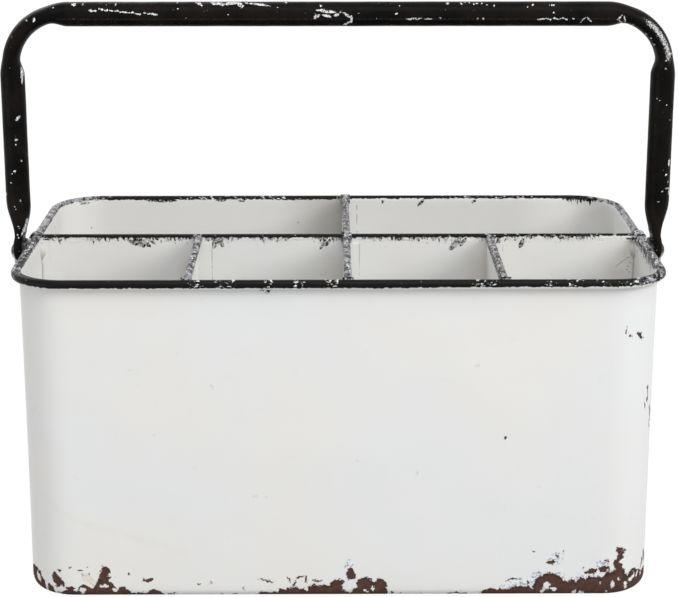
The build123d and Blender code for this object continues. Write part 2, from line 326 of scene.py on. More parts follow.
# Places of the chips, in mm: distance along the wall from the middle of the front, height,
# half width, half height and tilt
wallChips = {
    "rustEdge": [
        (-166, 4, 9, 8.2), (-149.6, 9.8, 1.7, 4.2, 15), (-146.8, 8.4, 2.6, 1.3, -25),
        (-147.5, 15.2, 1, 0.8), (-153, 3.2, 2.4, 3.2), (-140, 1.8, 8, 2.4), (-142, 5, 2.2, 2.2),
        (-128, 1.5, 13, 3.6), (-135, 2.5, 3, 4.6), (-123.5, 4, 6, 7), (-123.7, 13.5, 2.6, 5.2),
        (-113.5, 2, 4.5, 4), (-105, 1, 8, 2.2), (-96.5, 1, 4.2, 4.4), (-88, 1.5, 2.2, 1),
        (-37, 1, 6.5, 2.2), (-30, 3, 2, 2.2), (-23, 1, 7, 5.2), (-11, 1, 8.5, 6),
        (-0.5, 2, 5.6, 8.5), (6.5, 2, 3.5, 5), (6, 13.6, 2.6, 3.6), (13, 3, 5, 9),
        (21, 2.5, 4.6, 7.5), (62, 1.6, 5.5, 0.6), (84, 1.2, 9, 3.2), (96, 1.5, 10, 4),
        (110.5, 3, 8.2, 11.2), (121, 2, 9, 8), (127.5, 5, 3, 6), (135, 2, 9, 10), (146, 2, 10, 13),
        (158, 2, 9, 11), (147.6, 15.5, 1.8, 3.6), (146.6, 18.8, 2, 2.1),
        (148.4, 21.4, 2.1, 1.7, 20), (149.2, 23.6, 1.7, 2.1), (147.4, 26.2, 2, 1.6, -35),
        (168, 3, 6, 6.5),
    ],
    "loneChips": [
        (-100.6, 9.6, 2.6, 1.2), (-102.6, 9.9, 1.1, 1.4), (-98.6, 9.7, 1.2, 1.4),
        (-110.3, 13.5, 0.9, 0.9), (-141, 16.2, 0.9, 0.7), (-136.5, 15.3, 0.8, 0.6),
        (-133.5, 17, 0.6, 0.6), (-124.5, 19.5, 0.5, 0.4), (-38.5, 9.3, 3.6, 0.5, 6),
        (-17, 10.5, 0.5, 2.8), (-20.5, 12.2, 2.8, 0.5, 15), (-27, 10, 0.5, 1.8, 20),
        (-24, 8.3, 0.5, 2.2, -20), (-11, 8.9, 2.2, 0.45), (-9, 6.2, 0.7, 0.7), (25, 6, 0.7, 0.5),
        (28, 1.4, 1.2, 0.9), (33, 2, 0.7, 0.5), (43, 1.3, 0.6, 0.4), (-74, 8, 0.5, 0.4),
        (-68, 9.5, 0.5, 0.4), (-62, 1.6, 0.8, 0.5), (-55, 1.5, 1, 0.5), (-50, 5, 0.5, 0.4),
        (92, 9.2, 3.4, 0.5, 10), (99, 7.6, 0.5, 1.2), (111.5, 19.6, 2.6, 1.1, 15),
        (115, 22.5, 0.6, 2.2, 20), (132.8, 14.4, 3.2, 1.6, 8), (139.6, 15.4, 2.6, 1.5),
        (102.5, 25, 0.6, 0.6), (117.8, 26, 0.5, 0.6), (141, 20, 0.6, 0.5), (128, 17.5, 0.5, 0.5),
        (147.1, 146.8, 0.7, 1.8, 15), (149.2, 143.2, 0.6, 0.9), (154.6, 143.2, 1.3, 1.6, 30),
        (85.8, 89.4, 1.1, 0.9), (163.5, 109, 0.6, 4.5), (161.5, 103, 0.5, 2), (168.5, 96, 0.5, 6),
        (165, 14, 0.6, 3.2, -12), (168.5, 17.5, 0.6, 4.2, -10), (171.5, 14, 0.6, 3.4, -10),
    ],
    "islands": [
        (-162.5, 8, 1.5, 3.4, 20), (-124, 6.9, 2.2, 1), (-119, 4.2, 1.5, 1.6),
        (-168.5, 3.5, 0.8, 1.6, 15), (-121.6, 13.4, 0.9, 0.7), (-135.5, 3.8, 1.6, 1.5),
        (5.3, 6.5, 3.6, 3), (13.6, 3.9, 1.5, 0.7), (18, 5, 1, 0.9), (109.8, 6.4, 2, 2.4, 30),
        (107.6, 3.4, 1.1, 1.6), (113.4, 3.5, 1.4, 1.3), (123.5, 3, 1.3, 1.9), (152.2, 5.3, 1.2, 2),
        (144.5, 6.2, 1.2, 1.8), (127.8, 2.2, 1.6, 1), (141.6, 3.4, 0.7, 0.6),
        (138.2, 8.4, 0.6, 0.5), (160.6, 9.8, 1, 2.4, -20), (148.6, 9.6, 0.6, 0.7),
        (156.5, 9.2, 1.3, 2.6, -35), (164.5, 7.5, 0.8, 1.8),
    ],
    # thin enamel lifted round the right-hand chips, and a bare grey patch between cracks
    "lifted": [
        (92, 5.5, 9, 3.4, 12), (99, 9.5, 8, 2.8), (104.5, 12, 3.4, 2.6), (116, 12, 4, 2.2, -20),
        (123, 9.5, 4, 2), (129, 12, 4, 1.8), (114, 22, 4.4, 4, 20), (6, 19, 3, 2.4),
        (138, 19, 4, 2),
    ],
    "cream": [(-132.2, 11.2, 2.2, 3.2, 20), (-129.6, 9.2, 1.8, 1.8)],
    "underRim": [(-38.4, 168.8, 2.6, 0.6, -28), (-35.6, 168.9, 2.2, 0.55, 32)],
    # on the inner side of the back wall, by x and height
    "rearChips": [
        (50.9, 171.2, 0.8, 3.4, -42), (27.6, 171.8, 0.9, 1.2), (82.5, 171.9, 1.6, 0.7, 30),
        (-105.5, 172.9, 9, 1.3), (-70, 172.8, 3, 0.8), (-58, 172.4, 2, 0.5), (-152, 172, 3, 0.8),
        (-23.7, 159, 0.5, 0.5), (-148.6, 156.8, 0.4, 0.9, 20),
    ],
    "stain": [
        (-155, 55.5, 4.6, 1.1, -38), (-149, 51, 4.6, 1.3, -35), (-141, 46, 5.4, 1.7, -33),
        (-131, 41.5, 6.5, 2.2, -22), (-120, 38, 6.5, 2.4, -14), (-104, 33, 11, 2.4, -17),
        (-86, 27.5, 10, 2.6, -17),
    ],
    "greyDots": [
        (-37.5, 56, 1.1, 0.7), (-44.5, 56.5, 1.4, 0.8), (9.2, 77, 1.1, 0.7), (40, 70, 0.9, 0.9),
        (-66, 118, 0.8, 1.2), (70, 128, 1.2, 0.7), (104, 62, 0.8, 0.8), (-96, 92, 0.7, 0.7),
    ],
}
# stretches of the rim with white flecks, as distance along it and half length
fleckedRim = [(-73, 4), (-57, 6.5), (-36, 3), (-20, 3.5), (-4, 4.5), (74, 7), (107, 3), (119, 5),
              (132, 4), (153, 13), (-178, 9), (-215, 22), (190, 16), (230, 18),
              (-430, 40), (400, 30)]


# Paint at the rim, in mm: how low the black comes, how ragged it is and how worn
rimPaint = {
    "lowest": 169.9, "higherInside": 1.9, "higherRight": 0.5, "rightFrom": (10, 90), "tear": 2.6,
    # the inner side, by how far outward the sheet has rolled, in metres
    "innerSide": (0.0024, 0.0008),
    # brushed down inside at the right end and the rear right corner: middle, where it ends
    # and where it is full, along the wall
    "rightEnd": (218, 44, 24), "rearEnd": (341, 15, 6), "rearShare": 0.6,
    "brushed": -7.0, "brushedWear": -0.25, "wear": 0.42, "flecked": 0.145, "unflecked": -0.02,
    # how worn it is, by the place along the wall in metres, plus 0.5
    "worn": ((0.13, 0.05), (0.16, 0.6), (0.255, 0.6), (0.27, 0.46), (0.332, 0.44),
             (0.346, 0.05), (0.62, 0.06), (0.65, 0.34), (0.68, 0.54), (0.745, 0.54),
             (0.755, 0.62), (0.83, 0.6), (0.87, 0.05)),
}
# Enamel of the tub: how strong its marks are, and where the inner back wall gets a painted shade
# beside the rear divider
enamelMarks = {
    "smudges": 0.3, "stain": 0.24, "dots": 0.5, "lifted": 0.8, "darkEdge": 0.6,
    "dull": 0.7, "shadeFrom": -42, "shadeTo": 4, "shadeEnd": 4.5, "backFrom": 80,
    "border": 0.92, "borderWidth": (0.22, 0.1),
    # away from the front, the torn line of the rust: where it starts, its reach and least height
    "plainFrom": (172, 182), "plainReach": 20, "plainLeast": 1.0, "plainEdge": (-0.1, 0.3),
}


def tubMaterial():
    made, tree = startMaterial("wornTubEnamelAndShade")
    placeMm = placeInMm(tree)
    along, roll = (addNode(tree, "ShaderNodeAttribute", attribute_name=name).outputs["Fac"]
                   for name in ("along", "roll"))
    along = times(along, 1 / mm)
    rim, mark = rimPaint, enamelMarks
    x, y, z = split(placeMm)
    point = join(along, z)
    torn = raggedPoint(point, "wall")

    def chips(label, spot=torn):
        return inside(patches(spot, wallChips[label]), label)

    # inside faces look towards the middle of the tub
    normal = addNode(tree, "ShaderNodeTexCoord").outputs["Normal"]
    sideways = vectorCalc("MULTIPLY", placeMm, (1, 1, 0))
    outside = isOver(vectorCalc("DOT_PRODUCT", sideways, normal), 0)

    # enamel, a little cooler and warmer in places
    tint = mottled(noise(placeMm, "wallTint"), "wallTint")
    layers = coat(finishes["insideEnamel"], tint, outside)
    atBack = times(isOver(y, mark["backFrom"]), minus(1, outside))
    # painted shade: the inner back wall is darkened left of the rear divider, where the divider's
    # shadow falls
    corner = times(rampUp(x, mark["shadeFrom"], mark["shadeTo"]), isUnder(x, mark["shadeEnd"]))
    corner = times(corner, atBack, mark["dull"])
    layers = coat(layers, "dull", corner)
    layers = coat(layers, "smudge", times(spots(placeMm, "smudge"), mark["smudges"]))
    stained = times(chips("stain"), noise(point, "stain"), outside, mark["stain"])
    layers = coat(layers, "stain", stained)
    layers = coat(layers, "greyDots", times(chips("greyDots"), outside, mark["dots"]))

    # lifted enamel round the chips: blue-white with fine dark breaks
    lifted = times(chips("lifted"), outside, mark["lifted"])
    flaky = noise(placeMm, "flaky")
    layers = coat(layers, mottled(flaky, "flaky"), lifted)

    # a cream patch with a broken brown border
    ring = patches(torn, wallChips["cream"])
    layers = coat(layers, "cream", times(inside(ring, "cream"), outside))
    border = rampUp(apart(ring, mark["border"]), *mark["borderWidth"])
    border = times(border, spotsIn(flaky, "flaky"), outside)
    layers = coat(layers, "creamBorder", border)

    # rust where the enamel has chipped off; along the back and the sides a plain torn line
    edge = patches(torn, wallChips["rustEdge"] + wallChips["loneChips"])
    bare = times(inside(edge, "rust"), minus(1.0, chips("islands")))
    away = rampUp(absolute(along), *mark["plainFrom"])
    reach = timesPlus(spots(point, "rustLine"), mark["plainReach"], mark["plainLeast"])
    below = rampUp(minus(reach, split(torn)[1]), *mark["plainEdge"])
    bare = times(larger(bare, times(below, away)), outside)
    layers = coat(layers, mottled(noise(placeMm, "rust"), "rust"), bare)
    layers = coat(layers, "rustBorder", times(inside(edge, "rustBorder"), bare, mark["darkEdge"]))

    # black rim, torn along its lower edge; inside it ends higher
    inner = rampUp(roll, *rim["innerSide"])
    lowest = timesPlus(inner, rim["higherInside"], rim["lowest"])
    lowest = timesPlus(rampUp(along, *rim["rightFrom"]), rim["higherRight"], lowest)
    ends = [rampUp(apart(along, middle), outer, full)
            for middle, outer, full in (rim["rightEnd"], rim["rearEnd"])]
    ends = larger(ends[0], times(ends[1], rim["rearShare"]))
    brushed = times(ends, inner, spots(drawn(placeMm, "brushed"), "brushed"))
    lowest = timesPlus(brushed, rim["brushed"], lowest)
    line = timesPlus(noise(placeMm, "rimLine"), rim["tear"], lowest)
    black = rampUp(minus(z, line), *paintEdge)
    black = larger(black, times(chips("underRim"), outside))
    rear = chips("rearChips", raggedPoint(join(x, z), "rearChips"))
    black = larger(black, times(rear, atBack, spots(placeMm, "rearChips")))
    wear = colorRamp(timesPlus(along, mm, 0.5),
                     [(where, (level,) * 3) for where, level in rim["worn"]])
    wear = timesPlus(brushed, rim["brushedWear"], times(wear, rim["wear"]))
    flecked = inside(stretches(along, fleckedRim), "flecked")
    flecked = timesPlus(flecked, rim["flecked"], rim["unflecked"])
    layers, height = wornEdge(layers, placeMm, black, wear, flecked)

    # soft dents, a fine skin and the thickness of the enamel
    skin = times(noise(placeMm, "wallSkin"), relief["wallSkin"])
    height = plus(height, timesPlus(noise(placeMm, "wallDents"), relief["wallDents"], skin))
    height = timesPlus(bare, relief["chip"], height)
    height = timesPlus(lifted, relief["lifted"], height)
    finishMaterial(tree, layers, height, gloss["enamel"])
    return made


# Paint of the dividers, in mm: ragged lower edge of the hem's black, the worn parts, and the
# strength of the painted warm shade on the long divider's front face
hemPaint = {
    "tear": 2.2, "fringe": 20, "fringeFrom": 0.46, "lineWidth": (0.45, 0.15), "line": 0.8,
    # the long hem gets thinner and whiter between these places, and is rubbed on its hooks
    "thinned": (84, 108), "thinner": 0.5, "whiter": 0.07,
    "hooks": (160, 165), "hookWear": 0.14, "hookFlecks": 0.1,
    "grime": 0.36, "frontFace": -1.8, "core": 0.85, "coreFrom": (0.1, 0.5), "scratch": 0.8,
    "top": (170.5, 171.5),
}


def sheetMaterial(name, wear, hemLow, hem=None, lines=(), flecked=0.0):
    # a divider: enamel below, black or rubbed hem above; hem holds the stretches where the
    # paint came down raggedly and the single torn flaps, lines are where a flange ends
    made, tree = startMaterial(name)
    placeMm = placeInMm(tree)
    x, y, z = split(placeMm)
    flat = join(x, z)
    enamel = mottled(noise(placeMm, "sheetTint"), "sheetTint")
    layers = coat(enamel, "dirt", spots(placeMm, "dirt"))
    part = hemPaint

    def far(label):
        return patches(raggedPoint(flat, label), hem[label])

    if hem:
        # painted warm shade on the long divider's front face, at the shaded right-hand ends of the
        # compartments
        onFront = isUnder(y, part["frontFace"])
        layers = coat(layers, "grime", times(inside(far("grime"), "grime"), onFront, part["grime"]))
    for place in lines:
        mask = rampUp(apart(x, place), *part["lineWidth"])
        mask = times(mask, spots(placeMm, "flangeLine"), part["line"])
        layers = coat(layers, "dirt", mask)
    base = timesPlus(noise(placeMm, "hemLine"), part["tear"], hemLow)
    line = base
    if hem:
        thinned = rampUp(x, *part["thinned"])
        base = timesPlus(thinned, part["thinner"], base)
        zone = inside(stretches(x, hem["ragged"]), "ragged")
        fringe = noise(drawn(placeMm, "fringe"), "fringe")
        drop = times(larger(minus(fringe, part["fringeFrom"]), 0), part["fringe"])
        line = minus(base, times(drop, zone))
        hooks = rampUp(absolute(x), *part["hooks"])
        wear = timesPlus(hooks, part["hookWear"], wear)
        flecked = timesPlus(thinned, part["whiter"], flecked)
        flecked = timesPlus(hooks, part["hookFlecks"], flecked)
    black = rampUp(minus(z, line), *paintEdge)
    if hem:
        flaps = far("flaps")
        black = larger(black, inside(flaps, "flaps"))
    layers, height = wornEdge(layers, placeMm, black, wear, flecked)
    if hem:
        # torn paint has flaked down to grey steel and chalky enamel in its middle
        worn = noise(placeMm, "hemWorn")
        core = larger(inside(flaps, "flapCore"), spotsIn(worn, "hemWorn"))
        core = times(core, rampUp(minus(base, z), *part["coreFrom"]), black, part["core"])
        layers = coat(layers, mottled(worn, "hemWorn"), core)
        scratched = inside(far("scratches"), "scratches")
        layers = coat(layers, "dirt", times(scratched, part["scratch"]))
    height = timesPlus(noise(placeMm, "sheetDents"), relief["sheetDents"], height)
    lumps = times(minus(noise(placeMm, "hemLumps"), 0.5), rampUp(z, *part["top"]))
    height = timesPlus(lumps, relief["hemLumps"], height)
    finishMaterial(tree, layers, height, gloss["enamel"])
    return made


# Marks on the handle, and two painted highlight strips on the inner side of the left leg, as x, z,
# half width, half height and tilt, seen from the front
handleMarksAndHighlights = [
    (-131.4, 299.3, 0.6, 0.9, 20), (-98, 297.7, 1.3, 0.5, -40), (-85.8, 303.2, 0.41, 0.27),
    (-85.3, 300.7, 0.34, 0.27), (-118.3, 302.6, 0.34, 0.48), (-141, 302.2, 1.6, 0.6),
    (-136, 302.4, 0.54, 0.27), (-152, 300.8, 0.54, 0.41), (-166, 294.5, 0.48, 0.48),
    (-161.8, 294.6, 0.7, 1.4, -15), (-74.2, 302.6, 2.4, 0.6, -30), (-64, 302.8, 4.2, 0.6, -8),
    (-57, 302.8, 4, 0.7, 6), (-52, 302.2, 2, 0.9, -20), (-43, 302.5, 7, 0.4, -5),
    (-32.2, 301, 0.48, 0.41), (-27.7, 303.2, 0.68, 0.34), (-58.4, 297, 0.48, 0.34),
    (-6.5, 299, 5.2, 0.8, -6), (-11.2, 296.2, 1.9, 0.8, 30), (-6.2, 296.6, 2.6, 0.7, -10),
    (-0.8, 297, 1.6, 0.8, 20), (1.2, 298.8, 0.61, 0.48), (4.6, 297.2, 2.6, 0.6, -38),
    (7.2, 294.8, 0.7, 2), (5.2, 292.6, 2.6, 0.6, 30), (-9, 301.6, 0.61, 0.34),
    (31.1, 297.6, 0.48, 0.61, -30), (32.8, 301.8, 0.34, 0.48), (58.6, 302.4, 0.68, 0.41),
    (40.5, 295.2, 4.2, 0.5, 3), (48, 295.1, 2.4, 0.35), (54.3, 295.3, 0.68, 0.41),
    (65.8, 302.4, 0.7, 0.4), (67.8, 303, 0.4, 0.3), (70.1, 302.9, 0.5, 0.25),
    (72.6, 302.5, 0.5, 0.35), (74.4, 303, 0.8, 0.25), (76.9, 302.8, 0.5, 0.3),
    (79.4, 302.2, 0.35, 0.3), (83.1, 301.8, 0.54, 0.34), (74.6, 295, 0.48, 0.41),
    (77.8, 295, 0.48, 0.41), (103.9, 301.9, 0.68, 0.54), (114.2, 301.9, 1.6, 0.3),
    (115, 298.1, 0.61, 0.34, 25), (125.4, 294.9, 0.6, 0.4, 30), (130.9, 294.1, 2, 0.35, 45),
    (134.2, 294.2, 2, 0.45, -45), (101, 301.2, 0.41, 0.27), (165.4, 286.4, 0.6, 0.3, -30),
    (157.8, 291.6, 0.4, 0.25), (167.6, 284.2, 0.35, 0.5), (169.8, 280.9, 0.4, 0.5),
    (176.3, 268.2, 0.61, 0.41), (178.5, 275.8, 0.82, 0.54), (176, 272.5, 0.61, 0.34),
    (180.6, 216, 0.35, 2), (179.4, 209.6, 0.8, 0.5, 30), (180.5, 205.1, 0.4, 0.4),
    (180.4, 201.6, 1.3, 0.35), (181.6, 199.3, 0.35, 1.8, -8), (176.9, 200.3, 0.8, 0.22),
    (175.5, 194.3, 0.7, 0.25), (177.6, 248.2, 0.34, 0.27), (180, 240, 0.41, 0.27),
    (-173, 241.4, 0.5, 2, -35), (-174.4, 229.5, 0.61, 0.75), (-174.6, 226.8, 0.48, 0.48),
    (-172.2, 217.7, 0.34, 0.48), (-176, 211.7, 0.82, 0.61), (-178.4, 205.6, 0.54, 0.48),
    (-181.6, 198.6, 0.35, 1.1), (-173.8, 195.5, 0.4, 0.5), (-177, 192.4, 0.3, 0.3),
    (-176.4, 191, 0.45, 0.25), (-175.1, 181.8, 0.4, 0.5), (-174.8, 180.4, 0.28, 0.28),
    # the strips at x -170.2 and -172.1 are painted highlights of the left leg's glossy inner side
    (-175.5, 177.2, 0.25, 0.6), (-175.3, 175.4, 0.4, 0.5), (-170.2, 265, 0.5, 5.2),
    (-172.1, 180.6, 0.5, 4.6, -18),
    # pale outline of a bare triangle at the right end of the bar
    (150.1, 295.6, 1.8, 0.4, 55), (151.6, 292.6, 2.2, 0.45, -40), (153.1, 294.6, 2, 0.4, -70),
]
# wandering scratches as x at both ends and height at both ends
handleScratches = [(-132.7, -128.6, 299.7, 299.2), (-127.6, -105, 300.1, 297.7),
                   (-103.6, -96, 298.3, 297.3), (106.4, 122.6, 294.6, 295.1)]
# the painted highlight of the right-hand bend: centre and radius of its arc, half width, and where
# it sets in
bendHighlight = {"centre": (148.2, 269), "radius": 29.6, "halfWidth": (3.0, 0.4),
              "fromX": (159, 168), "fromZ": (267, 276)}
# Other paint of the handle, in mm: its painted reflection line along the bar, the scraped tips and
# where the front starts
handlePaint = {
    "scratchWobble": 4.0, "scratchWidth": 0.55, "highlightFill": 0.28, "highlightShare": 0.85,
    "frontFrom": (-0.4, -2.0), "moreBehind": 0.06, "scratchEdge": (-0.05, 0.1),
    "reflectionHeight": 294.8, "reflectionWidth": (0.5, 0.15), "reflectionLeft": -150, "reflectionRight": 152,
    "scrapeSlope": -1.5, "scrapeFrom": (-100.5, -101.5), "scrapeTear": 4.0,
}


def handleMaterial():
    made, tree = startMaterial("wornHandlePaintAndHighlights")
    placeMm = placeInMm(tree)
    x, y, z = split(placeMm)
    part = handlePaint
    marksAndHighlights = inside(patches(raggedPoint(join(x, z), "handle"), handleMarksAndHighlights), "handle")
    broken = noise(placeMm, "broken")
    marksAndHighlights = times(marksAndHighlights, spotsIn(broken, "broken"))
    alongBar = join(x)
    wobble = minus(noise(alongBar, "wobble"), 0.5)
    thick = times(spots(alongBar, "thick"), part["scratchWidth"])
    for start, end, low, high in handleScratches:
        slope = (high - low) / (end - start)
        middle = timesPlus(x, slope, low - slope * start)
        middle = timesPlus(wobble, part["scratchWobble"], middle)
        line = rampUp(minus(thick, apart(z, middle)), *part["scratchEdge"])
        half = (end - start) / 2
        line = times(line, isUnder(apart(x, start + half), half))
        marksAndHighlights = larger(marksAndHighlights, line)
    # painted highlight along the outer side of the right-hand bend, broken up like rubbed paint
    fromCentre = vectorCalc("SUBTRACT", join(x, z), (*bendHighlight["centre"], 0))
    off = absolute(minus(vectorCalc("LENGTH", fromCentre), bendHighlight["radius"]))
    highlightBand = times(rampUp(off, *bendHighlight["halfWidth"]),
                 rampUp(x, *bendHighlight["fromX"]), rampUp(z, *bendHighlight["fromZ"]))
    highlightBand = timesPlus(highlightBand, part["highlightFill"], noise(placeMm, "highlightBand"))
    marksAndHighlights = larger(marksAndHighlights, times(spotsIn(highlightBand, "highlightBand"), part["highlightShare"]))
    # the photographed side carries the marks; all round there are finer specks
    front = rampUp(y, *part["frontFrom"])
    marksAndHighlights = times(marksAndHighlights, front)
    behind = times(minus(1.0, front), part["moreBehind"])
    scratches = plus(behind, noise(drawn(placeMm, "scratches"), "scratches"))
    finer = larger(spots(placeMm, "specks"), spotsIn(scratches, "scratches"))
    marksAndHighlights = larger(marksAndHighlights, finer)
    brown = mottled(noise(placeMm, "handleTint"), "handleTint")
    # painted reflection: a lighter line along the lower part of the bar's front
    seam = rampUp(apart(z, part["reflectionHeight"]), *part["reflectionWidth"])
    seam = times(seam, front, isUnder(x, part["reflectionRight"]), isOver(x, part["reflectionLeft"]))
    layers = coat(brown, "seam", times(seam, thick))
    # pale marks, together with the painted highlights of the right bend and the left leg
    layers = coat(layers, "chalk", marksAndHighlights)
    scrape = timesPlus(absolute(x), part["scrapeSlope"], z)
    scrape = rampUp(timesPlus(broken, part["scrapeTear"], scrape), *part["scrapeFrom"])
    layers = coat(layers, "scraped", scrape)
    height = times(noise(placeMm, "hammering"), relief["hammering"])
    height = timesPlus(marksAndHighlights, relief["mark"], height)
    height = timesPlus(noise(placeMm, "handleSkin"), relief["handleSkin"], height)
    finishMaterial(tree, layers, height, gloss["handle"])
    return made


pivotHeight = 165.6
# Fittings: the level where steel shows, how raggedly they are scraped (lighter steel, partly a
# painted highlight of their lower half) and from which height
fittingPaint = {"rubbed": (0.62, 0.68), "tear": 6.0, "scraped": (2.6, 1.6)}


def steelMaterial(name, wear, insideAt=None):
    # small fittings: black paint rubbed down to steel, scraped low down to lighter steel that is
    # partly a painted highlight;
    # past insideAt, towards the tub, enamelled over in a darker enamel that is painted shade
    made, tree = startMaterial(name)
    placeMm = placeInMm(tree)
    rub = noise(placeMm, "fittings")
    part = fittingPaint
    rubbed = rampUp(rub, *(level - wear for level in part["rubbed"]))
    layers = coat(finishes["blackPaint"], "wornSteel", rubbed)
    if insideAt:
        place = split(placeMm)
        scraped = timesPlus(rub, part["tear"], place["Z"])
        scraped = rampUp(scraped, *(pivotHeight + above for above in part["scraped"]))
        layers = coat(layers, "scraped", scraped)
        # painted shade: the enamel over the fittings inside the tub is darker, so that their lit
        # bumps blend into the wall
        enamelledInShade = isUnder(absolute(place["X"]), insideAt)
        layers = coat(layers, "inner", enamelledInShade)
    finishMaterial(tree, layers, times(rub, relief["rubbedSteel"]), gloss["steel"])
    return made


def addObject(name, data):
    made = bpy.data.objects.new(name, data)
    bpy.context.scene.collection.objects.link(made)
    return made


# Geometry node helpers
def newTree(name, inputs):
    tree = bpy.data.node_groups.new(name, "GeometryNodeTree")
    tree.interface.new_socket(name="Geometry", in_out="OUTPUT", socket_type="NodeSocketGeometry")
    for label in ("Geometry", *inputs, "Material"):
        kind = label if label in ("Geometry", "Material") else "Float"
        tree.interface.new_socket(name=label, in_out="INPUT", socket_type="NodeSocket" + kind)
    return tree, tree.nodes.new("NodeGroupInput").outputs


def endTree(tree, geometry, material):
    joined = shape(tree, "RealizeInstances", {0: geometry})
    painted = shape(tree, "SetMaterial", {"Geometry": joined, "Material": material})
    addNode(tree, "NodeGroupOutput", {0: painted})


def runTree(name, tree, values, wallThickness=0.0, bend=40, points=()):
    # puts the tree on an object, sets its inputs and keeps the result as a plain mesh
    start = bpy.data.meshes.new(name + "Source")
    start.from_pydata(points, [], [])
    source = addObject(name, start)
    modifier = source.modifiers.new("shape", "NODES")
    modifier.node_group = tree
    for item in tree.interface.items_tree:
        if item.in_out == "INPUT" and item.name in values:
            modifier[item.identifier] = values[item.name]
    if wallThickness:
        sheet = source.modifiers.new("sheet", "SOLIDIFY")
        sheet.thickness = wallThickness
        sheet.offset = 0
    seen = source.evaluated_get(bpy.context.evaluated_depsgraph_get())
    mesh = bpy.data.meshes.new_from_object(seen)
    bpy.data.objects.remove(source)
    mesh.name = name
    mesh.polygons.foreach_set("use_smooth", [True] * len(mesh.polygons))
    mesh.set_sharp_from_angle(angle=math.radians(bend))
    return addObject(name, mesh)


def captured(geometry, value, kind="FLOAT"):
    made = addNode(geometry.id_data, "GeometryNodeCaptureAttribute", domain="POINT")
    made.capture_items.new(kind, "value")
    for socket, part in zip(made.inputs, (geometry, value)):
        feed(geometry.id_data, socket, part)
    return made.outputs[0], made.outputs[1]


def placeOf(tree):
    return shape(tree, "InputPosition")


def moved(geometry, **where):
    # with Position, the new places, or Offset
    return shape(geometry.id_data, "SetPosition", {"Geometry": geometry, **where})


def named(geometry, name, value):
    inputs = {"Geometry": geometry, "Name": name, "Value": value}
    return shape(geometry.id_data, "StoreNamedAttribute", inputs, data_type="FLOAT")


def swept(path, profile, caps=False):
    inputs = {"Curve": path, "Profile Curve": profile, "Fill Caps": caps}
    return shape(path.id_data, "CurveToMesh", inputs)


def roundedPath(curve, radius, spacing):
    inputs = {"Curve": curve, "Radius": radius, "Count": curveSteps["corner"]}
    rounded = shape(curve.id_data, "FilletCurve", inputs, mode="POLY")
    inputs = {"Curve": rounded, "Length": spacing}
    return shape(curve.id_data, "ResampleCurve", inputs, mode="LENGTH")


# Tub wall: one bent strip, foot flange in, rim rolled outward
tubShape = {
    "Length": 330 * mm, "Depth": 182 * mm, "Height": 175 * mm, "Corner Radius": 25.2 * mm,
    "Sheet": 0.7 * mm, "Roll Radius": 2.6 * mm, "Roll Turn": math.radians(305),
    "Foot Bend": 4.8 * mm, "Foot Flange": 8 * mm, "Spacing": 3 * mm,
    "Dent": 0.5 * mm, "Wobble": 0.35 * mm,
}
# points along each part of the profile and round each corner of a path, and how near points
# merge, in mm
curveSteps = {"flange": 3, "bend": 7, "rise": 52, "roll": 28, "corner": 24, "weld": 0.02}
# heights in mm between which the dents and the uneven rim set in and, of the dents, end
dentHeights = {"dentsFrom": (12, 50), "dentsTo": (168, 130), "rimFrom": (165, 170.5)}


